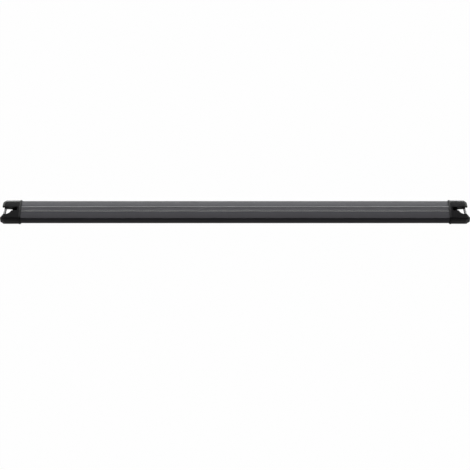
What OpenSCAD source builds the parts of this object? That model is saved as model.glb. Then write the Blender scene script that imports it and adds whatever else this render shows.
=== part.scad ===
// Roof rack crossbar with a clamp at each end that grips the flange of a side rail.
// +X runs along the bar to the right end, +Y to the rear, +Z up. The origin is on the
// surface that the two housings stand on, midway along the bar.

/* [Crossbar] */
// Length over the two front bumpers
overall_l = 1076; // [900:1:1300]
// Width of the extruded bar, front to rear
bar_w = 57; // [50:0.5:72]
// Height of the chamber that holds the nut blocks, under the slot's channel
chamber_h = 9.2; // [9:0.1:12]
// Corner radius of the bar's section
bar_r = 8; // [5:0.5:9]
// Radius of the slight crown on the bar's top
crown_r = 180; // [120:5:600]
// Wall of the extrusion
bar_wall = 2; // [1.6:0.1:2.4]

/* [Accessory slot] */
// Width of the slot's mouth in the bar's top
slot_w = 11; // [8:0.5:13]
// Inner width of the undercut channel
channel_w = 19; // [16:0.5:22]
// Height of the channel under its lips
channel_h = 6.8; // [5.5:0.1:7.2]
// Thickness of the channel's lips
lip_t = 2.2; // [1.6:0.1:2.6]
// Thickness of the channel's floor
floor_t = 1.8; // [1.4:0.1:2.2]
// Height of the rubber strip's foot, under the lips
strip_foot_t = 2.2; // [1.6:0.1:3]
// Radius of the bead along each lip of the slot
bead_r = 1.1; // [0.8:0.1:1.2]
// How far the beads stand above the bar's top
bead_h = 0.4; // [0.2:0.1:0.6]
// Number of grooves along the strip's top
strip_grooves = 3; // [1:1:4]

/* [Housing] */
// Wall of the housing round the bar
housing_wall = 1.6; // [1.5:0.1:3]
// Length of the bar's end that the housing holds
bar_seat = 8.5; // [7.5:0.5:18]
// Thickness of the roof over the clamp's arms
roof_t = 9.4; // [8:0.1:11]
// Depth of the throat behind the front bumper's face, where the mouth ends
throat_x = 25; // [24:0.5:30]
// Radius of the mouth's rounded front side
mouth_r = 13.7; // [11:0.1:15]
// Thickness of the wall behind the throat
throat_t = 2.2; // [1.8:0.1:2.4]
// Length of the rubber collar round the bar
collar_l = 4.5; // [3:0.5:8]
// How far the collar stands out from the bar
collar_t = 2.4; // [2:0.1:4]
// Diameter of the shank of the screws under the housing
tapping_d = 3.4; // [2.8:0.1:4]

/* [Rail and clamp] */
// Angle of the side rail in plan
rail_angle = 4.5; // [0:0.1:8]
// Travel of the clamp jaw
jaw_travel = 6; // [4:0.5:6]
// Depth of the jaw's hook behind the rail line, when drawn in
hook_inset = 0.5; // [0.3:0.1:2]
// Width of the jaw's channel, hook to web
jaw_w = 6.2; // [6:0.1:9]
// Sheet thickness of the jaw
jaw_t = 1.6; // [1.2:0.1:2]
// Radius inside the jaw's bends
bend_r = 0.6; // [0.4:0.1:0.8]
// Height of the jaw's underside above the ground
jaw_z = 1.5; // [1:0.1:2]
// Height of the jaw's web
web_h = 3.9; // [3:0.1:4.2]
// Thickness of the two arms that draw the jaw in
arm_t = 2.5; // [2:0.1:3]
// Half the distance over the two arms
arm_y = 20.5; // [20:0.1:21]
// Thickness of the yoke that joins the arms
yoke_t = 3; // [2.5:0.1:3.5]
// Nominal diameter of the clamp screw
screw_d = 6; // [5:0.5:6]
// Length of the screw under its head
screw_l = 30; // [27:1:40]
// Thickness of the rubber trim on the jaw's web
trim_t = 0.8; // [0.4:0.1:1]

/* [Hidden] */
$fn = 64;
// Running clearance between sliding pieces, and half of it between fitted ones
play = 0.3;
fit = 0.15;
thread_play = 0.05;
// How far a cut runs past the face it opens, and one shape into the next that it joins
over = 1;
join = 0.1;

bar_z = housing_wall;
bar_h = bar_wall + chamber_h + floor_t + channel_h + lip_t;
bar_top = bar_z + bar_h;
body_top = bar_top + housing_wall;
half_w = bar_w / 2;
half_body = half_w + housing_wall;
chamber_low = bar_z + bar_wall;
channel_floor = bar_top - lip_t - channel_h;
chamber_top = chamber_low + chamber_h;
screw_z = (chamber_low + chamber_top) / 2;

// Along the bar, as depths behind the front bumper's face: the room for the screw's head,
// the yoke, the bar's end, and the inner ends of the housing and the collar
head_d = screw_d * 1.65;
head_h = screw_d * 0.9;
washer_t = 1;
cavity_x = throat_x + throat_t;
head_x = cavity_x + join;
yoke_x = head_x + head_h + washer_t;
bar_inset = yoke_x + play;
housing_l = bar_inset + bar_seat;
collar_end = housing_l + collar_l;
bar_half_l = overall_l / 2 - bar_inset;

// Outline of the housing in plan
nose_y = half_body - 7;
nose_w = 3;
nose_l = 18;
rear_y = half_body - 10;
rear_l = 16;
front_bumper_t = 2.5;
rear_bumper_t = 5.3;
tongue_l = 3;
tongue_w = 5;
tongue_h = 3;
outside = 10;

// The mouth: its round front side, straight rear side and throat, and how fast it flares
mouth_y = -2;
mouth_x = throat_x - mouth_r - play;
mouth_rear_y = 9;
mouth_rear_out_y = mouth_rear_y + 1.5;
mouth_throat_y = 5.5;
mouth_rear_in_y = mouth_throat_y - 1;
mouth_flare = 0.62;
mouth_turn = 3;
mouth_turn_y = mouth_y - sqrt(mouth_r * mouth_r - mouth_turn * mouth_turn);
notch_end = housing_l - 4;

// Outline of the nose from the side
nose_top = 4.5;
nose_top_l = 9;
nose_bottom = 9;
nose_bottom_l = 12;

roof_z = body_top - roof_t;
roof_middle = body_top - roof_t / 2;
inner_y = arm_y + 1;
pocket_low = chamber_low - fit;
pocket_h = chamber_top - chamber_low + 2 * fit;

// Clamp screw, washer and yoke, drawn in
socket_af = screw_d * 5 / 6;
socket_depth = head_h * 0.6;
screw_tip = 1;
washer_d = head_d - play;
yoke_h = chamber_top - chamber_low - 2 * play;
arm_low = screw_z - yoke_h / 2;
arm_top = screw_z + yoke_h / 2;
arm_step_x = throat_x - jaw_travel - over;
arm_ramp = 3;
web_x = hook_inset + jaw_w;
hook_h = web_h - 0.8;

// Nut block inside the bar, and its two screws
block_l = 14;
block_screw_d = 5;
block_screw_y = 15;
block_head_d = 8;
block_head_h = 1.3;
block_socket_h = 0.9;
block_screw_depth = 5;
block_hole_depth = 5.5;
block_x = collar_end + play + block_head_d / 2 - block_l / 2;

// Screws that hold the housing to the bar, clear of the yoke
tapping_x = yoke_x + yoke_t + play + tapping_d / 2;
tapping_y = 12;
tapping_head_d = tapping_d * 1.8;
tapping_head_h = 0.8;
tapping_depth = 3.6;
cross_w = 0.8;
cross_h = 0.6;

// Where the rail's face crosses a given y, as a depth behind the front bumper's tip
function rail_x(y) = (y + nose_y) * tan(rail_angle);

// Places a piece made at the left end, with x as the depth behind the bumper's face
module at_left() translate([-overall_l / 2, 0, 0]) children();
module at_right() mirror([1, 0, 0]) at_left() children();

// Carries a profile drawn in y and z along x
module along_x(from, to) translate([from, 0, 0]) rotate([90, 0, 90]) linear_extrude(to - from) children();

// Carries an outline drawn in x and z along y
module along_y(from, to) translate([0, to, 0]) rotate([90, 0, 0]) linear_extrude(to - from) children();

// Carries an outline drawn in x and y up z
module up_z(from, to) translate([0, 0, from]) linear_extrude(to - from) children();

module rounded_box(w, h, r) {
    square([w, h - 2 * r], center = true);
    square([w - 2 * r, h], center = true);
    for (y = [-1, 1], z = [-1, 1]) translate([y * (w / 2 - r), z * (h / 2 - r)]) circle(r);
}

// The bar's section, grown outwards all round, with its crowned top
module section(grow = 0) {
    intersection() {
        translate([0, bar_z + bar_h / 2])
            rounded_box(bar_w + 2 * grow, bar_h + 2 * grow, bar_r + grow);
        translate([0, bar_top - crown_r]) circle(crown_r + grow, $fn = 256);
    }
}

// The round beads that edge the slot
module beads(grow = 0) for (y = [-slot_w / 2 - bead_r, slot_w / 2 + bead_r])
    translate([y, bar_top + bead_h - bead_r]) circle(bead_r + grow);

module bar_profile() {
    difference() {
        section();
        difference() {
            section(-bar_wall);
            translate([-channel_w / 2 - floor_t, chamber_top])
                square([channel_w + 2 * floor_t, bar_h]);
        }
        translate([-channel_w / 2, channel_floor]) square([channel_w, channel_h]);
        translate([-slot_w / 2, channel_floor]) square([slot_w, bar_h]);
        translate([-slot_w / 2 - bead_r, bar_top + bead_h - bead_r]) square([slot_w + 2 * bead_r, bar_h]);
    }
    beads();
}

module block_screw_axes() for (y = [-block_screw_y, block_screw_y])
    translate([block_x + block_l / 2, y, 0]) children();
module tapping_axes() for (y = [-tapping_y, tapping_y]) translate([tapping_x, y, 0]) children();

module bar_extrusion() color([0.25, 0.25, 0.27]) difference() {
    along_x(-bar_half_l, bar_half_l) bar_profile();
    for (right = [0, 1]) mirror([right, 0, 0]) at_left() {
        block_screw_axes() cylinder(h = chamber_low + over, d = block_screw_d + 2 * fit);
        tapping_axes() cylinder(h = chamber_low + over, d = tapping_d + 2 * thread_play);
    }
}

// Rubber strip that closes the slot between the two housings
module slot_strip() color([0.12, 0.12, 0.13]) {
    neck = slot_w - 2 * play;
    foot_w = channel_w - 2;
    foot_top = bar_top - lip_t;
    neck_top = bar_top - join;
    pitch = neck / (strip_grooves + 1);
    groove_r = 0.45;
    along_x(-overall_l / 2 + notch_end, overall_l / 2 - notch_end) difference() {
        union() {
            translate([-neck / 2, foot_top - join]) square([neck, neck_top - foot_top + join]);
            translate([-foot_w / 2, foot_top - strip_foot_t]) square([foot_w, strip_foot_t]);
        }
        for (i = [1 : strip_grooves])
            translate([-neck / 2 + i * pitch, neck_top]) circle(groove_r, $fn = 24);
    }
}

// The housing's outline in plan, out to the rail's face
module plan_outline() polygon([
    [rail_x(-nose_y - nose_w), -nose_y - nose_w],
    [nose_l, -half_body - over],
    [housing_l, -half_body - over],
    [housing_l, half_body + over],
    [rear_l, half_body + over],
    [rail_x(rear_y), rear_y],
    [rail_x(-nose_y), -nose_y]
]);

// The open mouth between the two prongs, seen from above
module mouth() difference() {
    union() {
        translate([mouth_x, mouth_y]) circle(mouth_r);
        polygon([
            [-outside, mouth_rear_y + outside],
            [-outside, -nose_y - outside * mouth_flare],
            [rail_x(-nose_y), -nose_y],
            [mouth_x - mouth_turn, mouth_turn_y + over],
            [mouth_x, mouth_rear_y + outside]
        ]);
        translate([mouth_x, -mouth_throat_y]) square([throat_x - mouth_x, 2 * mouth_throat_y]);
    }
    polygon([
        [-outside, mouth_rear_out_y],
        [throat_x + over, mouth_rear_in_y],
        [throat_x + over, half_body],
        [-outside, half_body]
    ]);
}

// The nose seen from the side: its top slopes down and its underside slopes up to the tip
module side_outline() polygon([
    [-over, nose_bottom], [0, nose_bottom], [nose_bottom_l, 0], [housing_l, 0], [housing_l, body_top],
    [nose_top_l, body_top], [0, body_top - nose_top], [-over, body_top - nose_top]
]);

// Everything inside the housing's three outlines
module body_form() intersection() {
    along_x(-over, housing_l) section(housing_wall);
    up_z(-over, body_top + over) plan_outline();
    along_y(-half_body, half_body) side_outline();
}

// The slice between two lines parallel to the rail
module rail_slice(from, to) up_z(-over, body_top + over) polygon([
    [rail_x(-half_body) + from, -half_body],
    [rail_x(-half_body) + to, -half_body],
    [rail_x(half_body) + to, half_body],
    [rail_x(half_body) + from, half_body]
]);

// The tongue that holds the rear bumper in the housing, or with a gap, its pocket
module tongue(gap) {
    middle_y = (rear_y + mouth_rear_y) / 2;
    translate([
        rail_x(middle_y) + rear_bumper_t - over,
        middle_y - tongue_w / 2 - gap,
        roof_middle - tongue_h / 2 - gap
    ]) cube([tongue_l + over + gap, tongue_w + 2 * gap, tongue_h + 2 * gap]);
}

module housing() color([0.1, 0.1, 0.11]) difference() {
    body_form();
    rail_slice(-outside, front_bumper_t);
    intersection() {
        rail_slice(-outside, rear_bumper_t);
        translate([-outside, 0, 0]) cube([3 * outside, half_body, body_top + over]);
    }
    up_z(roof_z - over, body_top + over) mouth();
    translate([-outside, -inner_y, -over]) cube([throat_x + outside, 2 * inner_y, roof_z + over]);
    // Room for the yoke, the arms and the screw's head
    translate([cavity_x, -inner_y, pocket_low])
        cube([bar_inset - cavity_x + over, 2 * inner_y, pocket_h]);
    for (y = [-arm_y, arm_y - arm_t]) translate([throat_x - over, y - 2 * play, pocket_low])
        cube([throat_t + 2 * over, arm_t + 4 * play, pocket_h]);
    translate([throat_x - over, 0, screw_z]) rotate([0, 90, 0])
        cylinder(h = bar_inset - throat_x + over, d = head_d + 4 * play);
    // Seat of the bar, and the slot left open over its channel
    along_x(bar_inset, housing_l + over) {
        section(fit);
        beads(fit);
    }
    translate([throat_x - over, -slot_w / 2, channel_floor])
        cube([notch_end - throat_x + over, slot_w, bar_h]);
    tapping_axes() {
        cylinder(h = bar_z + over, d = tapping_d + 2 * play);
        translate([0, 0, -over]) cylinder(h = over + tapping_head_h + fit, d = tapping_head_d + 2 * play);
    }
    tongue(fit);
}

// The collar's underside is flush with the housing's
module collar_seal() color([0.06, 0.06, 0.06]) difference() {
    union() {
        along_x(housing_l, collar_end - collar_l / 3) section(collar_t);
        along_x(housing_l, collar_end) section(collar_t / 2);
    }
    along_x(housing_l - over, collar_end + over) {
        section();
        beads();
    }
    translate([housing_l - over, -bar_w, -bar_h]) cube([collar_l + 2 * over, 2 * bar_w, bar_h]);
}

module front_bumper() color([0.2, 0.2, 0.2]) intersection() {
    body_form();
    rail_slice(0, front_bumper_t);
    translate([-outside, -half_body, -over])
        cube([3 * outside, half_body - inner_y, body_top + 2 * over]);
}

module rear_bumper() color([0.25, 0.26, 0.25]) {
    rear_bumper_h = roof_t - 3;
    intersection() {
        body_form();
        rail_slice(0, rear_bumper_t);
        translate([-outside, mouth_rear_y, roof_middle - rear_bumper_h / 2])
            cube([4 * outside, half_body, rear_bumper_h]);
    }
    tongue(0);
}

// Die-cast block in the bar's lower chamber, tapped for the clamp screw
module nut_block() color([0.6, 0.6, 0.62]) difference() {
    intersection() {
        along_x(block_x, block_x + block_l) section(-bar_wall - fit);
        translate([block_x, -half_w, chamber_low]) cube([block_l, bar_w, chamber_h - fit]);
    }
    translate([block_x - over, 0, screw_z]) rotate([0, 90, 0])
        cylinder(h = block_l + 2 * over, d = screw_d + 2 * thread_play);
    block_screw_axes() cylinder(h = chamber_low + block_hole_depth, d = block_screw_d + 2 * thread_play);
}

module block_screws() color([0.5, 0.5, 0.52]) block_screw_axes() difference() {
    union() {
        translate([0, 0, bar_z - block_head_h]) cylinder(h = block_head_h, d = block_head_d);
        translate([0, 0, bar_z - join]) cylinder(h = bar_wall + block_screw_depth, d = block_screw_d);
    }
    translate([0, 0, bar_z - block_head_h - over])
        cylinder(h = block_socket_h + over, d = block_screw_d * 0.6, $fn = 6);
}

module housing_screws() color([0.5, 0.5, 0.52]) tapping_axes() difference() {
    union() {
        translate([0, 0, fit]) cylinder(h = tapping_head_h, d = tapping_head_d);
        translate([0, 0, fit]) cylinder(h = bar_z + tapping_depth - fit, d = tapping_d);
    }
    for (turn = [0, 90]) rotate(turn) translate([-tapping_d / 2, -cross_w / 2, 0])
        cube([tapping_d, cross_w, cross_h]);
}

// How far along the rail's line from the nose the back of the jaw reaches a given y
function rail_run(y) = (y + nose_y + web_x * sin(rail_angle)) / cos(rail_angle);

// Carries an outline drawn in x and z along the rail's line, just past y on both sides
module along_rail(y) translate([0, -nose_y, 0]) rotate(-rail_angle)
    along_y(rail_run(-y) - join, rail_run(y) + join) children();

// The channel's outline, with two round corners below, or its inside
module channel_outline(inset, top) {
    low = jaw_z + inset;
    left = hook_inset + inset;
    width = jaw_w - 2 * inset;
    r = bend_r + jaw_t - inset;
    intersection() {
        union() {
            translate([left, low + r]) square([width, top]);
            translate([left + r, low]) square([width - 2 * r, top]);
            for (x = [left + r, left + width - r]) translate([x, low + r]) circle(r);
        }
        translate([left, low]) square([width, top - low]);
    }
}

// The folded channel: a hook, a lip and a web
module channel_profile() difference() {
    channel_outline(0, jaw_z + web_h);
    channel_outline(jaw_t, jaw_z + web_h + over);
    translate([hook_inset - over, jaw_z + hook_h]) square([jaw_w / 2 + over, web_h]);
}

// One folded sheet: the channel that grips the rail, two arms and the yoke that the screw draws in
module clamp_jaw() color([0.8, 0.8, 0.82]) difference() {
    union() {
        along_rail(arm_y) channel_profile();
        for (y = [-arm_y, arm_y - arm_t]) along_y(y, y + arm_t) polygon([
            [rail_x(y) + web_x - join, jaw_z],
            [arm_step_x - arm_ramp, jaw_z],
            [arm_step_x, arm_low],
            [yoke_x + join, arm_low],
            [yoke_x + join, arm_top],
            [arm_step_x - arm_ramp, arm_top],
            [rail_x(y) + web_x - join, jaw_z + web_h - join]
        ]);
        translate([yoke_x, -arm_y, arm_low]) cube([yoke_t, 2 * arm_y, yoke_h]);
    }
    translate([yoke_x - over, 0, screw_z]) rotate([0, 90, 0])
        cylinder(h = yoke_t + 2 * over, d = screw_d + 2 * play);
}

// Rubber trim over the web's top and the face that meets the rail's flange
module jaw_trim() color([0.05, 0.05, 0.05]) along_rail(arm_y - arm_t - play) {
    web_face = web_x - jaw_t;
    web_top = jaw_z + web_h;
    trim_low = jaw_z + jaw_t + bend_r;
    translate([web_face - trim_t, trim_low]) square([trim_t, web_top + trim_t - trim_low]);
    translate([web_face - trim_t, web_top]) square([trim_t + jaw_t, trim_t]);
}

module washer() color([0.7, 0.7, 0.72]) translate([yoke_x - washer_t, 0, screw_z]) rotate([0, 90, 0])
    difference() {
        cylinder(h = washer_t, d = washer_d);
        translate([0, 0, -over]) cylinder(h = washer_t + 2 * over, d = screw_d + 2 * fit);
    }

module clamp_screw() color([0.75, 0.75, 0.77]) translate([head_x, 0, screw_z]) rotate([0, 90, 0])
    difference() {
        union() {
            cylinder(h = head_h, d = head_d);
            cylinder(h = head_h + screw_l - screw_tip, d = screw_d);
            translate([0, 0, head_h + screw_l - screw_tip])
                cylinder(h = screw_tip, d1 = screw_d, d2 = screw_d - 2 * screw_tip);
        }
        translate([0, 0, -over]) cylinder(h = socket_depth + over, d = socket_af / cos(30), $fn = 6);
    }

bar_extrusion();
slot_strip();
at_left() housing();  // left_housing
at_right() housing();  // right_housing
at_left() collar_seal();  // left_collar_seal
at_right() collar_seal();  // right_collar_seal
at_left() front_bumper();  // left_front_bumper
at_right() front_bumper();  // right_front_bumper
at_left() rear_bumper();  // left_rear_bumper
at_right() rear_bumper();  // right_rear_bumper
at_left() nut_block();  // left_nut_block
at_right() nut_block();  // right_nut_block
at_left() block_screws();  // left_block_screws
at_right() block_screws();  // right_block_screws
at_left() housing_screws();  // left_housing_screws
at_right() housing_screws();  // right_housing_screws
at_left() clamp_jaw();  // left_clamp_jaw
at_right() clamp_jaw();  // right_clamp_jaw
at_left() jaw_trim();  // left_jaw_trim
at_right() jaw_trim();  // right_jaw_trim
at_left() washer();  // left_washer
at_right() washer();  // right_washer
at_left() clamp_screw();  // left_clamp_screw
at_right() clamp_screw();  // right_clamp_screw
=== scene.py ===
"""Looks of the roof rack crossbar: finishes for the frame's own pieces, and finer pieces in place of some.

Every length is in metres, in the frame's axes: +X along the bar, +Y to the rear, +Z up. A size that the
frame already holds is read from it, and the rest are fields of the classes below.
"""

import logging
import math
from dataclasses import dataclass, field
from enum import Enum

import bmesh
import bpy
import numpy as np
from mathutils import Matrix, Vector


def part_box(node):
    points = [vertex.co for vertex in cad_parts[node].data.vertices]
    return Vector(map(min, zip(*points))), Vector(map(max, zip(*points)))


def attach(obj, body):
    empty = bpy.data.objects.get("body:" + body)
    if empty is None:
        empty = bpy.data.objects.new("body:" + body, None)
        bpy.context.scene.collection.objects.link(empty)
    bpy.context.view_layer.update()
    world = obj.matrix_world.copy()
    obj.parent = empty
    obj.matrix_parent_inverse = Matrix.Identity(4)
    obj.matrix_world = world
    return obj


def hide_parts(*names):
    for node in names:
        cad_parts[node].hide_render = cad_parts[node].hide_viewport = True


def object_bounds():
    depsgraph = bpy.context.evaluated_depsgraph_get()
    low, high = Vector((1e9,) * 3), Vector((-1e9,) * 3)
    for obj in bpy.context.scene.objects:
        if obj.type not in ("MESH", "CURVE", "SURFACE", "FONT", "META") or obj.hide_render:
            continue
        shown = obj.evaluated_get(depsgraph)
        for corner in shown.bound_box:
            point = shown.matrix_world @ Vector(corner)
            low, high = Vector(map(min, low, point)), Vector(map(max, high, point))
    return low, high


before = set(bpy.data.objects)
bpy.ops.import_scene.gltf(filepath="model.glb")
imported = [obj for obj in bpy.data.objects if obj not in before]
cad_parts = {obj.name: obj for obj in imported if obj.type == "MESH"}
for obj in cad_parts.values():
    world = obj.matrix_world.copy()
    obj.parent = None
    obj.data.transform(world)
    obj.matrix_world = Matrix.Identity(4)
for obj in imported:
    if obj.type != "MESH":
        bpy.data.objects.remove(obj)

CAD_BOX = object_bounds()
MM = 0.001
LOG = logging.getLogger("crossbar")
Colour = tuple[float, float, float]
Place = tuple[float, float, float]

# Points of a new mesh that are closer than this are one, and an edge shorter than the next value is none
MERGE_DISTANCE = 1e-6
SHORTEST_EDGE = 1e-7
# The same for a frame node's loose triangles, and the angle in degrees under which two of them are one face
NODE_MERGE_DISTANCE = 2e-6
FLAT_ANGLE = 0.5


class Side(Enum):
    """The two ends of the bar, with the direction of each along x."""

    LEFT = -1
    RIGHT = 1

    def node(self, name: str) -> str:
        """Name of this end's own copy of a piece."""
        return f"{self.name.lower()}_{name}"


class Pattern(Enum):
    """What a finish's surface is broken up by."""

    GRAIN = "moulded grain"
    DRAWN = "lines drawn along x"


# Meshes


def finish_mesh(name: str, mesh: bpy.types.Mesh, smooth_angle: float) -> bpy.types.Object:
    """Merges a mesh's doubles, turns its faces outwards, shades it and links it as a new object.

    Args:
        name: the piece's name.
        mesh: the mesh, which is changed.
        smooth_angle: edges sharper than this many degrees stay sharp.

    Returns:
        The new object, at the origin.
    """
    work = bmesh.new()
    work.from_mesh(mesh)
    bmesh.ops.remove_doubles(work, verts=work.verts, dist=MERGE_DISTANCE)
    bmesh.ops.dissolve_degenerate(work, edges=work.edges, dist=SHORTEST_EDGE)
    bmesh.ops.recalc_face_normals(work, faces=work.faces)
    for face in work.faces:
        face.smooth = True
    limit = math.radians(smooth_angle)
    for edge in work.edges:
        edge.smooth = edge.calc_face_angle(0.0) < limit
    work.to_mesh(mesh)
    work.free()
    piece = bpy.data.objects.new(name, mesh)
    bpy.context.scene.collection.objects.link(piece)
    return piece


def grid_faces(rows: int, columns: int, wrap_rows: bool, wrap_columns: bool) -> np.ndarray:
    """Point numbers of the quads of a grid.

    Args:
        rows: how many rows of points the grid has.
        columns: how many points each row has.
        wrap_rows: whether the last row joins the first.
        wrap_columns: whether each row is a closed ring.

    Returns:
        An array of shape (quads, 4): each quad joins points (i, j), (i, j+1), (i+1, j+1) and (i+1, j).
    """
    i = np.arange(rows if wrap_rows else rows - 1)[:, None]
    j = np.arange(columns if wrap_columns else columns - 1)[None, :]
    following_i = (i + 1) % rows
    following_j = (j + 1) % columns
    corners = (
        i * columns + j,
        i * columns + following_j,
        following_i * columns + following_j,
        following_i * columns + j,
    )
    return np.stack([np.broadcast_to(c, (i.size, j.size)) for c in corners], axis=-1).reshape(-1, 4)


def ring_surface(
    name: str, rings: np.ndarray, closed: bool = False, smooth_angle: float = 35.0
) -> bpy.types.Object:
    """Makes a skin over closed rings of points.

    Args:
        name: the piece's name.
        rings: an array of shape (rings, points, 3).
        closed: whether the last ring joins the first, as on a torus. If not, each end is shut by a fan.
        smooth_angle: edges sharper than this many degrees stay sharp.

    Returns:
        The new object.
    """
    count, size, _ = rings.shape
    faces = grid_faces(count, size, closed, True).tolist()
    points = rings.reshape(-1, 3)
    if not closed:
        points = np.vstack([points, rings[0].mean(0), rings[-1].mean(0)])
        k = np.arange(size)
        after = (k + 1) % size
        last = (count - 1) * size
        first_fan = np.column_stack([np.full(size, count * size), after, k])
        last_fan = np.column_stack([np.full(size, count * size + 1), last + k, last + after])
        faces += first_fan.tolist() + last_fan.tolist()
    mesh = bpy.data.meshes.new(name)
    mesh.from_pydata(points.tolist(), [], faces)
    return finish_mesh(name, mesh, smooth_angle)


def along_x(outline: np.ndarray, places: np.ndarray) -> np.ndarray:
    """Rings for an outline in y and z that stands at each of the given places along x."""
    x = np.broadcast_to(np.asarray(places, float)[:, None, None], (len(places), len(outline), 1))
    return np.concatenate([x, np.broadcast_to(outline[None], (len(places), *outline.shape))], axis=2)


def about_axis(
    start: Vector, direction: float, depth: np.ndarray, across: np.ndarray, upward: np.ndarray
) -> np.ndarray:
    """Places points given by their depth along x and their offsets across it, from a start point."""
    return np.stack([start.x + direction * depth, start.y + across, start.z + upward], axis=-1)


def hexagon_radius(angle: np.ndarray, across_flats: float) -> np.ndarray:
    """Distance from the middle of a hexagon to its side, at each angle."""
    return across_flats / 2 / np.cos((angle + np.pi / 6) % (np.pi / 3) - np.pi / 6)


def softened(
    node: str, name: str, width: float, segments: int = 3, angle: float = 40.0
) -> bpy.types.Object:
    """Copies a frame node and rounds its edges.

    Args:
        node: the frame node whose form is kept.
        name: the new piece's name.
        width: how far the rounding reaches from each edge.
        segments: faces across each rounded edge.
        angle: edges flatter than this many degrees are left as they are.

    Returns:
        The new object, with a live bevel.
    """
    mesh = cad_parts[node].data.copy()
    mesh.materials.clear()
    work = bmesh.new()
    work.from_mesh(mesh)
    bmesh.ops.remove_doubles(work, verts=work.verts, dist=NODE_MERGE_DISTANCE)
    bmesh.ops.dissolve_limit(
        work, angle_limit=math.radians(FLAT_ANGLE), verts=work.verts, edges=work.edges
    )
    for face in work.faces:
        face.smooth = True
    limit = math.radians(angle)
    for edge in work.edges:
        edge.smooth = edge.calc_face_angle(0.0) < limit
    work.to_mesh(mesh)
    work.free()
    for layer in list(mesh.attributes):
        if layer.name == "custom_normal":
            mesh.attributes.remove(layer)
    piece = bpy.data.objects.new(name, mesh)
    bpy.context.scene.collection.objects.link(piece)
    bevel = piece.modifiers.new("soft_edges", "BEVEL")
    bevel.width = width
    bevel.segments = segments
    bevel.limit_method = "ANGLE"
    bevel.angle_limit = limit
    bevel.use_clamp_overlap = True
    bevel.harden_normals = True
    return piece


# Shared shader effects


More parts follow.
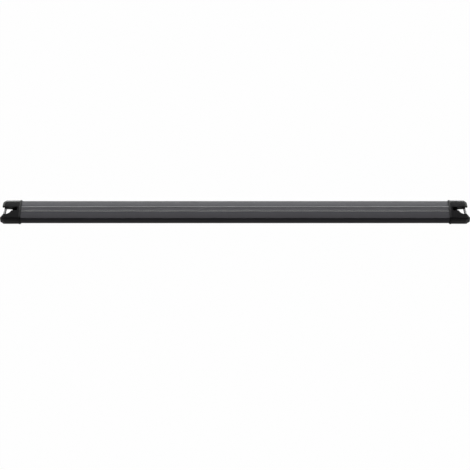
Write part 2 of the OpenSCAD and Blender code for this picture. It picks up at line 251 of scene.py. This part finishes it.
class Effects:
    """Shader node groups that several finishes use, each built once."""

    # Moulded grain: the waves' scale as a share of the cells', the cells' share of the height, waves' detail
    WAVE_SCALE = 0.35
    CELL_SHARE = 0.7
    WAVE_DETAIL = 3.0
    # Drawn lines: the broad lines' scale as a share of the fine ones', and the detail of both
    BROAD_SCALE = 0.2
    FINE_DETAIL = 6.0
    BROAD_DETAIL = 2.0
    # Mottle: the clouds' detail
    CLOUD_DETAIL = 4.0
    # Edge wear: its reach from an edge, its samples, how fast it grows, and the noise that breaks it up
    WEAR_RADIUS = 0.0006
    WEAR_SAMPLES = 4
    WEAR_GAIN = 6.0
    WEAR_NOISE = 400.0
    WEAR_DETAIL = 3.0

    def __init__(self) -> None:
        """Builds the groups."""
        self.grain = self._grain()
        self.drawn = self._drawn()
        self.mottle = self._mottle()
        self.edges = self._edges()

    @staticmethod
    def _new(
        name: str, inputs: dict[str, float], outputs: tuple[str, ...]
    ) -> tuple[bpy.types.NodeTree, bpy.types.Node, bpy.types.Node]:
        """Makes an empty group.

        Args:
            name: the group's name.
            inputs: each input's name and default.
            outputs: the outputs' names.

        Returns:
            The group, its input node and its output node.
        """
        group = bpy.data.node_groups.new(name, "ShaderNodeTree")
        for socket, value in inputs.items():
            made = group.interface.new_socket(name=socket, in_out="INPUT", socket_type="NodeSocketFloat")
            made.default_value = value
        for socket in outputs:
            group.interface.new_socket(name=socket, in_out="OUTPUT", socket_type="NodeSocketFloat")
        return group, group.nodes.new("NodeGroupInput"), group.nodes.new("NodeGroupOutput")

    @staticmethod
    def _math(group: bpy.types.NodeTree, operation: str, *values: object) -> bpy.types.NodeSocket:
        """Adds a Math node.

        Args:
            group: where it is added.
            operation: what it works out.
            values: its inputs in order, each a socket or a number.

        Returns:
            The node's output.
        """
        node = group.nodes.new("ShaderNodeMath")
        node.operation = operation
        for socket, value in zip(node.inputs, values):
            if isinstance(value, bpy.types.NodeSocket):
                group.links.new(value, socket)
            else:
                socket.default_value = value
        return node.outputs[0]

    @classmethod
    def _noise(
        cls, group: bpy.types.NodeTree, vector: bpy.types.NodeSocket, scale: object, detail: float
    ) -> bpy.types.NodeSocket:
        """Adds a Noise texture.

        Args:
            group: where it is added.
            vector: the coordinates that it reads.
            scale: its scale, a socket or a number.
            detail: how many finer layers it has.

        Returns:
            The texture's value.
        """
        node = group.nodes.new("ShaderNodeTexNoise")
        group.links.new(vector, node.inputs["Vector"])
        node.inputs["Detail"].default_value = detail
        if isinstance(scale, bpy.types.NodeSocket):
            group.links.new(scale, node.inputs["Scale"])
        else:
            node.inputs["Scale"].default_value = scale
        return node.outputs["Fac"]

    def _grain(self) -> bpy.types.NodeTree:
        """Spark-eroded grain of a mould: small cells of even size with softer waves under them."""
        group, given, out = self._new("mould_grain", {"Scale": 1800.0}, ("Height", "Mask"))
        place = group.nodes.new("ShaderNodeTexCoord").outputs["Object"]
        cells = group.nodes.new("ShaderNodeTexVoronoi")
        cells.feature = "SMOOTH_F1"
        group.links.new(place, cells.inputs["Vector"])
        group.links.new(given.outputs["Scale"], cells.inputs["Scale"])
        wave_scale = self._math(group, "MULTIPLY", given.outputs["Scale"], self.WAVE_SCALE)
        waves = self._noise(group, place, wave_scale, self.WAVE_DETAIL)
        cell_height = self._math(group, "MULTIPLY", cells.outputs["Distance"], self.CELL_SHARE)
        height = self._math(group, "ADD", cell_height, waves)
        group.links.new(height, out.inputs["Height"])
        group.links.new(waves, out.inputs["Mask"])
        return group

    def _drawn(self) -> bpy.types.NodeTree:
        """Lines left along x by a die or a brush: noise that is stretched many times in that direction."""
        group, given, out = self._new("drawn_lines", {"Scale": 900.0, "Stretch": 0.004}, ("Height", "Mask"))
        place = group.nodes.new("ShaderNodeTexCoord").outputs["Object"]
        apart = group.nodes.new("ShaderNodeSeparateXYZ")
        group.links.new(place, apart.inputs[0])
        joined = group.nodes.new("ShaderNodeCombineXYZ")
        stretched = self._math(group, "MULTIPLY", apart.outputs["X"], given.outputs["Stretch"])
        group.links.new(stretched, joined.inputs["X"])
        group.links.new(apart.outputs["Y"], joined.inputs["Y"])
        group.links.new(apart.outputs["Z"], joined.inputs["Z"])
        fine = self._noise(group, joined.outputs[0], given.outputs["Scale"], self.FINE_DETAIL)
        broad_scale = self._math(group, "MULTIPLY", given.outputs["Scale"], self.BROAD_SCALE)
        broad = self._noise(group, joined.outputs[0], broad_scale, self.BROAD_DETAIL)
        group.links.new(self._math(group, "ADD", fine, broad), out.inputs["Height"])
        group.links.new(broad, out.inputs["Mask"])
        return group

    def _mottle(self) -> bpy.types.NodeTree:
        """Soft clouds a few centimetres across, as in any dyed or moulded surface."""
        group, given, out = self._new("mottle", {"Scale": 35.0}, ("Mask",))
        place = group.nodes.new("ShaderNodeTexCoord").outputs["Object"]
        clouds = self._noise(group, place, given.outputs["Scale"], self.CLOUD_DETAIL)
        group.links.new(clouds, out.inputs["Mask"])
        return group

    def _edges(self) -> bpy.types.NodeTree:
        """Wear on edges: how far the surface's normal turns within a radius, broken up by noise."""
        group, given, out = self._new("edge_wear", {"Breakup": 0.5}, ("Mask",))
        place = group.nodes.new("ShaderNodeTexCoord").outputs["Object"]
        bevel = group.nodes.new("ShaderNodeBevel")
        bevel.samples = self.WEAR_SAMPLES
        bevel.inputs["Radius"].default_value = self.WEAR_RADIUS
        geometry = group.nodes.new("ShaderNodeNewGeometry")
        dot = group.nodes.new("ShaderNodeVectorMath")
        dot.operation = "DOT_PRODUCT"
        group.links.new(bevel.outputs["Normal"], dot.inputs[0])
        group.links.new(geometry.outputs["Normal"], dot.inputs[1])
        turn = self._math(group, "SUBTRACT", 1.0, dot.outputs["Value"])
        turned = self._math(group, "MULTIPLY", turn, self.WEAR_GAIN)
        specks = self._noise(group, place, self.WEAR_NOISE, self.WEAR_DETAIL)
        noise = self._math(group, "MULTIPLY", specks, given.outputs["Breakup"])
        worn = self._math(group, "SUBTRACT", turned, noise)
        clamp = group.nodes.new("ShaderNodeClamp")
        group.links.new(worn, clamp.inputs["Value"])
        group.links.new(clamp.outputs[0], out.inputs["Mask"])
        return group


@dataclass(frozen=True)
class PaintedHighlight:
    """A painted highlight: a lighter tone where a surface stands above a level, standing in for the light
    that the slot's raised lips catch.
    """

    tone: float
    level: float
    rise: float


# How much of the pattern's mask lightens the colour, and how far the bump's full height reaches
PATTERN_SHARE = 0.35
BUMP_DISTANCE = 0.0001


@dataclass(frozen=True)
class Finish:
    """One finish of the crossbar: its colour, its gloss and what breaks them up."""

    name: str
    slot: str
    colour: Colour
    roughness: float
    pattern: Pattern
    pattern_scale: float
    bump: float
    metallic: float = 0.0
    specular: float = 0.5
    shade: float = 0.15
    worn_colour: Colour | None = None
    roughness_spread: float = 0.08
    painted_highlight: PaintedHighlight | None = None

    def material(self, effects: Effects) -> bpy.types.Material:
        """Builds the finish's material.

        Args:
            effects: the shared node groups.

        Returns:
            A material whose colour, roughness and bump vary over the surface.
        """
        made = bpy.data.materials.new(self.name)
        made.use_nodes = True
        tree = made.node_tree
        shader = next(n for n in tree.nodes if n.type == "BSDF_PRINCIPLED")
        shader.inputs["Metallic"].default_value = self.metallic
        shader.inputs["Specular IOR Level"].default_value = self.specular
        pattern = self._group(tree, effects.drawn if self.pattern is Pattern.DRAWN else effects.grain)
        pattern.inputs["Scale"].default_value = self.pattern_scale
        mottle = self._group(tree, effects.mottle)
        darker = self._shaded(1 - self.shade)
        lighter = self._shaded(1 + self.shade)
        colour = self._blend(tree, mottle.outputs["Mask"], darker, lighter)
        colour = self._blend(tree, pattern.outputs["Mask"], colour, lighter, PATTERN_SHARE)
        if self.worn_colour:
            wear = self._group(tree, effects.edges)
            colour = self._blend(tree, wear.outputs["Mask"], colour, self.worn_colour)
        # painted highlight: a lighter tone on whatever stands above the level
        if self.painted_highlight:
            colour = self._blend(tree, self._painted_highlight_mask(tree), colour, (self.painted_highlight.tone,) * 3)
        tree.links.new(colour, shader.inputs["Base Color"])
        tree.links.new(self._range(tree, pattern.outputs["Mask"]), shader.inputs["Roughness"])
        bump = tree.nodes.new("ShaderNodeBump")
        bump.inputs["Strength"].default_value = self.bump
        bump.inputs["Distance"].default_value = BUMP_DISTANCE
        tree.links.new(pattern.outputs["Height"], bump.inputs["Height"])
        tree.links.new(bump.outputs["Normal"], shader.inputs["Normal"])
        return made

    def _painted_highlight_mask(self, tree: bpy.types.NodeTree) -> bpy.types.NodeSocket:
        """Makes the painted highlight's mask, which goes from 0 to 1 as the surface rises past its level.

        Args:
            tree: the material's nodes.

        Returns:
            The mask's socket.
        """
        place = tree.nodes.new("ShaderNodeTexCoord").outputs["Object"]
        apart = tree.nodes.new("ShaderNodeSeparateXYZ")
        tree.links.new(place, apart.inputs[0])
        node = tree.nodes.new("ShaderNodeMapRange")
        node.inputs["From Min"].default_value = self.painted_highlight.level
        node.inputs["From Max"].default_value = self.painted_highlight.level + self.painted_highlight.rise
        tree.links.new(apart.outputs["Z"], node.inputs["Value"])
        return node.outputs["Result"]

    def _shaded(self, factor: float) -> Colour:
        """The finish's colour, made darker or lighter by a factor."""
        return tuple(min(1.0, c * factor) for c in self.colour)

    @staticmethod
    def _group(tree: bpy.types.NodeTree, group: bpy.types.NodeTree) -> bpy.types.Node:
        """Places a node group in a material."""
        node = tree.nodes.new("ShaderNodeGroup")
        node.node_tree = group
        return node

    @staticmethod
    def _blend(
        tree: bpy.types.NodeTree, mask: bpy.types.NodeSocket, low: object, high: object, share: float = 1.0
    ) -> bpy.types.NodeSocket:
        """Mixes two colours by a mask.

        Args:
            tree: the material's nodes.
            mask: where the second colour shows.
            low: the first colour, or a socket that gives it.
            high: the second colour.
            share: how much of the mask counts.

        Returns:
            The mixed colour's socket.
        """
        node = tree.nodes.new("ShaderNodeMix")
        node.data_type = "RGBA"
        scaled = tree.nodes.new("ShaderNodeMath")
        scaled.operation = "MULTIPLY"
        scaled.inputs[1].default_value = share
        tree.links.new(mask, scaled.inputs[0])
        tree.links.new(scaled.outputs[0], node.inputs["Factor"])
        for socket, value in ((node.inputs["A"], low), (node.inputs["B"], high)):
            if isinstance(value, bpy.types.NodeSocket):
                tree.links.new(value, socket)
            else:
                socket.default_value = (*value, 1.0)
        return node.outputs["Result"]

    def _range(self, tree: bpy.types.NodeTree, mask: bpy.types.NodeSocket) -> bpy.types.NodeSocket:
        """Makes a roughness that varies round the finish's own by its spread.

        Args:
            tree: the material's nodes.
            mask: what it follows, from 0 at the smoothest to 1 at the roughest.

        Returns:
            The roughness's socket.
        """
        node = tree.nodes.new("ShaderNodeMapRange")
        node.inputs["To Min"].default_value = self.roughness - self.roughness_spread
        node.inputs["To Max"].default_value = self.roughness + self.roughness_spread
        tree.links.new(mask, node.inputs["Value"])
        return node.outputs["Result"]


# The bar's raised lips carry a painted highlight, a lighter tone above 23.5 mm.
ANODISED = Finish("satin_anodised", "bar_metal", (0.081, 0.08, 0.089), 0.4, Pattern.DRAWN, 900.0, 0.2,
                  metallic=0.0, specular=0.1, shade=0.12, roughness_spread=0.06,
                  painted_highlight=PaintedHighlight(0.45, 23.5 * MM, 0.1 * MM))
STRIP_RUBBER = Finish("ribbed_rubber", "strip_rubber", (0.12, 0.118, 0.128), 0.6, Pattern.DRAWN, 1400.0, 0.1,
                      specular=0.1, shade=0.1)
HOUSING_PLASTIC = Finish("grained_moulding", "housing_plastic", (0.015, 0.015, 0.016), 0.2, Pattern.GRAIN,
                         1500.0, 0.1, specular=0.1, shade=0.15, worn_colour=(0.035, 0.035, 0.037),
                         roughness_spread=0.04)
SEAL_RUBBER = Finish("collar_rubber", "seal_rubber", (0.02, 0.02, 0.021), 0.55, Pattern.GRAIN, 1200.0, 0.2,
                     specular=0.1, shade=0.2)
BUMPER_RUBBER = Finish("pad_rubber", "bumper_rubber", (0.055, 0.06, 0.053), 0.7, Pattern.GRAIN, 1500.0, 0.4,
                       specular=0.25, shade=0.15)
DIE_CAST = Finish("cast_skin", "die_cast", (0.5, 0.5, 0.52), 0.5, Pattern.GRAIN, 900.0, 0.6,
                  metallic=1.0, shade=0.1)
JAW_STEEL = Finish("folded_steel", "jaw_steel", (0.42, 0.42, 0.425), 0.6, Pattern.DRAWN, 1100.0, 0.15,
                   metallic=1.0, shade=0.05, worn_colour=(0.48, 0.48, 0.485))
TRIM_RUBBER = Finish("trim_rubber", "seal_rubber", (0.015, 0.015, 0.016), 0.7, Pattern.GRAIN, 1200.0, 0.3,
                     specular=0.15, shade=0.2)
ZINC_STEEL = Finish("plated_steel", "zinc_steel", (0.6, 0.6, 0.63), 0.35, Pattern.GRAIN, 2500.0, 0.2,
                    metallic=1.0, shade=0.08, worn_colour=(0.75, 0.75, 0.78))


@dataclass
class Workshop:
    """Where pieces are dressed, placed on their bodies and reported."""

    effects: Effects
    finished: dict[str, bpy.types.Material] = field(default_factory=dict)
    placed: list[str] = field(default_factory=list)

    def dress(self, piece: bpy.types.Object, finish: Finish) -> None:
        """Gives a piece its finish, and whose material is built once.

        Args:
            piece: the piece.
            finish: its finish.
        """
        if finish.name not in self.finished:
            self.finished[finish.name] = finish.material(self.effects)
        piece.data.materials.clear()
        piece.data.materials.append(self.finished[finish.name])

    def keep(self, node: str, finish: Finish) -> None:
        """Dresses a node of the frame, whose form stays."""
        self.dress(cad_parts[node], finish)
        self._report(node, "kept")

    def place(self, piece: bpy.types.Object, body: str, node: str, finish: Finish) -> None:
        """Puts a new piece on a body, in place of a node of the frame.

        Args:
            piece: the new piece.
            body: the body that it rides on.
            node: the node that it stands for.
            finish: its finish.
        """
        self.dress(piece, finish)
        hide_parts(node)
        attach(piece, body)
        self._report(piece.name, f"in place of {node}")

    def _report(self, name: str, note: str) -> None:
        """Logs one piece."""
        self.placed.append(name)
        LOG.info("%s: %s", name, note)


@dataclass
class Studio:
    """Camera, lamps, floor and world. The camera stands where the photograph's is taken to have stood."""

    elevation: float = 50.0
    distance: float = 3.2
    half_view: float = 9.6
    image_size: int = 470
    bar_row: float = 212.0
    floor_size: float = 40.0
    floor_drop: float = 0.1 * MM
    floor_grey: float = 0.08
    floor_glow: float = 0.99
    ambient: float = 0.08
    overhead: float = 0.5
    sky_low: float = 0.3
    sky_high: float = 0.6
    rear_place: Place = (0.0, 2.82, 1.03)
    rear_size: tuple[float, float] = (4.0, 0.8)
    rear_power: float = 205.0
    top_place: Place = (0.0, 0.9, 2.9)
    top_size: tuple[float, float] = (3.4, 0.8)
    top_power: float = 4.0

    def build(self) -> None:
        """Makes the whole studio."""
        self._camera()
        self._world()
        self._floor()
        self._lamp("rear", self.rear_place, self.rear_size, self.rear_power)
        self._lamp("top", self.top_place, self.top_size, self.top_power)

    def _camera(self) -> None:
        """Aims the camera below the bar by the rows between the bar and the image's middle."""
        tilt = math.radians(self.elevation)
        towards = Vector((0.0, math.cos(tilt), -math.sin(tilt)))
        image_up = Vector((0.0, math.sin(tilt), math.cos(tilt)))
        middle = (Vector(CAD_BOX[0]) + Vector(CAD_BOX[1])) / 2
        per_pixel = 2 * self.distance * math.tan(math.radians(self.half_view)) / self.image_size
        aim = middle - image_up * (self.image_size / 2 - self.bar_row) * per_pixel
        data = bpy.data.cameras.new("camera")
        data.lens = data.sensor_width / 2 / math.tan(math.radians(self.half_view))
        camera = bpy.data.objects.new("camera", data)
        camera.location = aim - towards * self.distance
        camera.rotation_euler = towards.to_track_quat("-Z", "Y").to_euler()
        bpy.context.scene.collection.objects.link(camera)
        bpy.context.scene.camera = camera
        bpy.context.scene.view_settings.view_transform = "Standard"

    @staticmethod
    def _seen_white(tree: bpy.types.NodeTree) -> bpy.types.NodeSocket:
        """Makes a mask that is 1 for camera, glossy and transmission rays.

        Args:
            tree: the material's nodes.

        Returns:
            The mask's socket.
        """
        path = tree.nodes.new("ShaderNodeLightPath")
        first = tree.nodes.new("ShaderNodeMath")
        second = tree.nodes.new("ShaderNodeMath")
        first.operation = "MAXIMUM"
        second.operation = "MAXIMUM"
        tree.links.new(path.outputs["Is Camera Ray"], first.inputs[0])
        tree.links.new(path.outputs["Is Glossy Ray"], first.inputs[1])
        tree.links.new(first.outputs[0], second.inputs[0])
        tree.links.new(path.outputs["Is Transmission Ray"], second.inputs[1])
        return second.outputs[0]

    def _world(self) -> None:
        """Makes a world that the camera sees white.

        Diffuse rays see a faint even light, and the others see white by the horizon and dimmer overhead.
        """
        world = bpy.data.worlds.new("studio")
        bpy.context.scene.world = world
        world.use_nodes = True
        tree = world.node_tree
        background = next(n for n in tree.nodes if n.type == "BACKGROUND")
        direction = tree.nodes.new("ShaderNodeSeparateXYZ")
        tree.links.new(tree.nodes.new("ShaderNodeTexCoord").outputs["Generated"], direction.inputs[0])
        sky = tree.nodes.new("ShaderNodeMapRange")
        sky.inputs["From Min"].default_value = self.sky_low
        sky.inputs["From Max"].default_value = self.sky_high
        sky.inputs["To Min"].default_value = 1.0
        sky.inputs["To Max"].default_value = self.overhead
        tree.links.new(direction.outputs["Z"], sky.inputs["Value"])
        path = tree.nodes.new("ShaderNodeLightPath")
        lit = self._pick(tree, path.outputs["Is Diffuse Ray"], sky.outputs["Result"], self.ambient)
        strength = self._pick(tree, path.outputs["Is Camera Ray"], lit, 1.0)
        background.inputs["Color"].default_value = (1.0, 1.0, 1.0, 1.0)
        tree.links.new(strength, background.inputs["Strength"])

    @staticmethod
    def _pick(
        tree: bpy.types.NodeTree, mask: bpy.types.NodeSocket, low: bpy.types.NodeSocket, high: float
    ) -> bpy.types.NodeSocket:
        """Chooses between two values by a mask.

        Args:
            tree: the world's nodes.
            mask: 0 for the first value and 1 for the second.
            low: the first value.
            high: the second value.

        Returns:
            The chosen value's socket.
        """
        node = tree.nodes.new("ShaderNodeMix")
        node.data_type = "FLOAT"
        tree.links.new(mask, node.inputs["Factor"])
        tree.links.new(low, node.inputs["A"])
        node.inputs["B"].default_value = high
        return node.outputs["Result"]

    def _floor(self) -> None:
        """Makes a floor that looks white.

        Camera, glossy and transmission rays see nearly all glow, with a trace of the lit surface and so of
        the shadow, and the other rays see the dim lit surface alone.
        """
        half = self.floor_size / 2
        drop = -self.floor_drop
        corners = np.array([
            [-half, -half, drop],
            [half, -half, drop],
            [half, half, drop],
            [-half, half, drop],
        ])
        mesh = bpy.data.meshes.new("floor")
        mesh.from_pydata(corners.tolist(), [], [[0, 1, 2, 3]])
        floor = bpy.data.objects.new("floor", mesh)
        bpy.context.scene.collection.objects.link(floor)
        material = bpy.data.materials.new("floor")
        material.use_nodes = True
        tree = material.node_tree
        tree.nodes.remove(next(n for n in tree.nodes if n.type == "BSDF_PRINCIPLED"))
        output = next(n for n in tree.nodes if n.type == "OUTPUT_MATERIAL")
        surface = tree.nodes.new("ShaderNodeBsdfDiffuse")
        glow = tree.nodes.new("ShaderNodeEmission")
        white = tree.nodes.new("ShaderNodeMixShader")
        surface.inputs["Color"].default_value = (self.floor_grey, self.floor_grey, self.floor_grey, 1.0)
        glow.inputs["Strength"].default_value = 1.0
        share = tree.nodes.new("ShaderNodeMath")
        share.operation = "MULTIPLY"
        share.inputs[1].default_value = self.floor_glow
        tree.links.new(self._seen_white(tree), share.inputs[0])
        tree.links.new(share.outputs[0], white.inputs["Fac"])
        tree.links.new(surface.outputs[0], white.inputs[1])
        tree.links.new(glow.outputs[0], white.inputs[2])
        tree.links.new(white.outputs[0], output.inputs["Surface"])
        mesh.materials.append(material)

    @staticmethod
    def _lamp(name: str, place: Place, size: tuple[float, float], power: float) -> None:
        """Adds a soft box that faces the object.

        Args:
            name: the lamp's name.
            place: where it hangs.
            size: its width and depth.
            power: its power in watts.
        """
        data = bpy.data.lights.new(name, "AREA")
        data.shape = "RECTANGLE"
        data.size, data.size_y = size
        data.energy = power
        lamp = bpy.data.objects.new(name, data)
        lamp.location = place
        lamp.rotation_euler = (-Vector(place)).to_track_quat("-Z", "Y").to_euler()
        bpy.context.scene.collection.objects.link(lamp)


@dataclass
class BarAssembly:
    """The extruded bar and the rubber strip in its slot."""

    neck_half: float = 5.2 * MM
    foot_half: float = 8.5 * MM
    foot_height: float = 2.2 * MM
    ribs: int = 4
    rib_depth: float = 0.45 * MM
    rib_steps: int = 10
    stations: int = 41

    def build(self, shop: Workshop) -> None:
        """Keeps the bar and lays the strip."""
        shop.keep("bar_extrusion", ANODISED)
        shop.place(self._strip(), "crossbar", "slot_strip", STRIP_RUBBER)

    def _strip(self) -> bpy.types.Object:
        """The strip's section carried along the slot.

        Across the neck the top is a row of round ribs: height = top - depth * (1 - |sin(pi * ribs * t)|)^2
        for t from 0 to 1 across it. The foot under the lips is a plain step.

        Returns:
            The new strip.
        """
        low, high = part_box("slot_strip")
        across = np.linspace(self.neck_half, -self.neck_half, self.ribs * self.rib_steps + 1)
        t = (across + self.neck_half) / (2 * self.neck_half)
        top = high.z - self.rib_depth * (1 - np.abs(np.sin(np.pi * self.ribs * t))) ** 2
        foot_top = low.z + self.foot_height
        sides = np.array([
            [-self.neck_half, foot_top], [-self.foot_half, foot_top], [-self.foot_half, low.z],
            [self.foot_half, low.z], [self.foot_half, foot_top], [self.neck_half, foot_top],
        ])
        outline = np.vstack([np.column_stack([across, top]), sides])
        return ring_surface("ribbed_strip", along_x(outline, np.linspace(low.x, high.x, self.stations)))


@dataclass
class EndHousing:
    """The moulded housing at one end, with its seal, bumpers, nut block and screws."""

    side: Side
    edge: float = 0.5 * MM
    rubber_edge: float = 0.7 * MM
    cast_edge: float = 0.4 * MM
    screw_edge: float = 0.15 * MM

    def build(self, shop: Workshop) -> None:
        """Makes and places every piece of the housing."""
        node = self.side.node
        for name, finish, edge in (
            ("housing", HOUSING_PLASTIC, self.edge),
            ("collar_seal", SEAL_RUBBER, self.edge),
            ("front_bumper", BUMPER_RUBBER, self.rubber_edge),
            ("rear_bumper", BUMPER_RUBBER, self.rubber_edge),
            ("nut_block", DIE_CAST, self.cast_edge),
            ("block_screws", ZINC_STEEL, self.screw_edge),
            ("housing_screws", ZINC_STEEL, self.screw_edge),
        ):
            piece = softened(node(name), node(f"finished_{name}"), edge)
            shop.place(piece, "crossbar", node(name), finish)


@dataclass
class RailClamp:
    """The folded jaw at one end, its trim, and the screw that draws it in."""

    side: Side
    sheet_edge: float = 0.35 * MM
    head_height: float = 5.4 * MM
    head_radius: float = 4.95 * MM
    head_edge: float = 0.5 * MM
    socket_across: float = 5.0 * MM
    socket_depth: float = 3.2 * MM
    pitch: float = 1.0 * MM
    thread_depth: float = 0.55 * MM
    thread_play: float = 0.02 * MM
    shank_radius: float = 3.0 * MM
    plain_shank: float = 6 * MM
    thread_end: float = 0.8 * MM
    socket_bevel: float = 0.25 * MM
    head_bevel: float = 0.3 * MM
    neck_bevel: float = 0.3 * MM
    washer_bore: float = 3.15 * MM
    washer_bevel: float = 0.12 * MM
    around: int = 48
    per_pitch: int = 8
    edge_steps: int = 5

    def build(self, shop: Workshop) -> None:
        """Makes and places every piece of the clamp."""
        node = self.side.node
        clamp = node("clamp")
        screw = node("screw")
        jaw = softened(node("clamp_jaw"), node("folded_jaw"), self.sheet_edge)
        shop.place(jaw, clamp, node("clamp_jaw"), JAW_STEEL)
        trim = softened(node("jaw_trim"), node("web_trim"), self.sheet_edge / 2)
        shop.place(trim, clamp, node("jaw_trim"), TRIM_RUBBER)
        shop.place(self._washer(), clamp, node("washer"), ZINC_STEEL)
        shop.place(self._screw(), screw, node("clamp_screw"), ZINC_STEEL)

    def _axis(self, node: str) -> tuple[Vector, float, float]:
        """Finds where a turned piece lies.

        Args:
            node: the piece's node, without the side.

        Returns:
            The outer end of its axis, the direction inwards along x, and its length.
        """
        low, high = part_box(self.side.node(node))
        inward = -float(self.side.value)
        outer = low.x if self.side is Side.LEFT else high.x
        return Vector((outer, (low.y + high.y) / 2, (low.z + high.z) / 2)), inward, high.x - low.x

    def _screw(self) -> bpy.types.Object:
        """Socket head cap screw with a cut thread.

        Rings run from the socket's floor out over the head and along the shank. A socket ring is a hexagon,
        and the others are round. On the thread the radius is major - depth * |2 * frac(s / pitch - angle
        / turn) - 1|, so that the crest winds round the shank. Its depth grows from the plain part and eases
        off towards the tip.

        Returns:
            The new screw.
        """
        start, inward, length = self._axis("clamp_screw")
        angle = np.linspace(0, 2 * np.pi, self.around, endpoint=False)
        shank = self.shank_radius
        hexagon = hexagon_radius(angle, self.socket_across)
        round_ring = np.ones_like(angle)
        bend = np.linspace(0, np.pi / 2, self.edge_steps)
        rim = [
            (
                self.head_edge * (1 - math.sin(b)),
                round_ring * (self.head_radius - self.head_edge * (1 - math.cos(b))),
            )
            for b in bend[::-1]
        ]
        head = [
            (self.socket_depth, hexagon),
            (self.socket_bevel, hexagon),
            (0.0, hexagon + self.socket_bevel),
            *rim,
            (self.head_height - self.head_bevel, round_ring * self.head_radius),
            (self.head_height, round_ring * (self.head_radius - self.head_bevel)),
            (self.head_height, round_ring * (shank + self.neck_bevel)),
            (self.head_height + self.neck_bevel, round_ring * shank),
        ]
        plain = self.head_height + self.plain_shank
        depth = np.arange(plain, length - self.thread_end, self.pitch / self.per_pitch)
        phase = (depth[:, None] / self.pitch - angle[None, :] * inward / (2 * np.pi)) % 1.0
        fade = np.clip((depth - plain) / self.pitch, 0, 1) * np.clip((length - depth) / self.pitch, 0, 1)
        thread = shank - self.thread_play - self.thread_depth * fade[:, None] * np.abs(2 * phase - 1)
        tip = [(length, round_ring * (shank - self.pitch))]
        depths = np.concatenate([[d for d, _ in head], [plain], depth, [d for d, _ in tip]])
        radii = np.vstack([*[r for _, r in head], round_ring * shank, thread, *[r for _, r in tip]])
        rings = about_axis(start, inward, np.broadcast_to(depths[:, None], radii.shape),
                           radii * np.cos(angle), radii * np.sin(angle))
        return ring_surface(self.side.node("cap_screw"), rings, smooth_angle=50.0)

    def _washer(self) -> bpy.types.Object:
        """Makes a stamped ring: its section, with small bevels, is carried round the axis.

        Returns:
            The new washer.
        """
        start, inward, thickness = self._axis("washer")
        low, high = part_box(self.side.node("washer"))
        outer = (high.z - low.z) / 2
        inner = self.washer_bore
        bevel = self.washer_bevel
        section = np.array([
            [0, inner + bevel], [0, outer - bevel], [bevel, outer], [thickness - bevel, outer],
            [thickness, outer - bevel], [thickness, inner + bevel], [thickness - bevel, inner],
            [bevel, inner],
        ])
        angle = np.linspace(0, 2 * np.pi, self.around, endpoint=False)[:, None]
        rings = about_axis(start, inward, np.broadcast_to(section[:, 0], (self.around, len(section))),
                           section[:, 1] * np.cos(angle), section[:, 1] * np.sin(angle))
        return ring_surface(self.side.node("flat_washer"), rings, closed=True)


def main() -> None:
    """Builds the sub-assemblies in order."""
    logging.basicConfig(level=logging.INFO, format="%(message)s")
    shop = Workshop(Effects())
    Studio().build()
    BarAssembly().build(shop)
    for side in Side:
        EndHousing(side).build(shop)
        RailClamp(side).build(shop)
    LOG.info("%d pieces", len(shop.placed))


if __name__ == "__main__":
    main()
